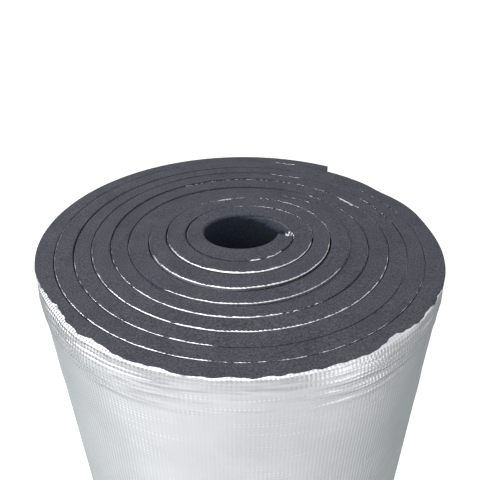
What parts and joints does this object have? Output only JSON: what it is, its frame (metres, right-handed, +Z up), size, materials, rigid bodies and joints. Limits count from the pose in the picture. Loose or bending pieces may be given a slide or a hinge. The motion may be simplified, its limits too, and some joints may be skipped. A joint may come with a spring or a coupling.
{
  "type": "foil-faced foam insulation roll",
  "caption": "Roll of thick dark foam insulation sheet with an embossed aluminium foil facing outside, wound round an open bore and stood on end.",
  "frame": {"origin": "middle of the roll's bounding box, on the floor it stands on", "axes": "+Z up along the roll's winding axis; the sheet's inner end is near +X; the sheet winds outward clockwise as seen from +Z"},
  "size_m": [0.5716, 0.5846, 1.0052],
  "materials": {
    "foam": "matt closed-cell foam",
    "foil": "embossed foil"
  },
  "bodies": {
    "root": {"foam_roll": "foam", "foil_facing": "foil"}
  },
  "joints": []
}
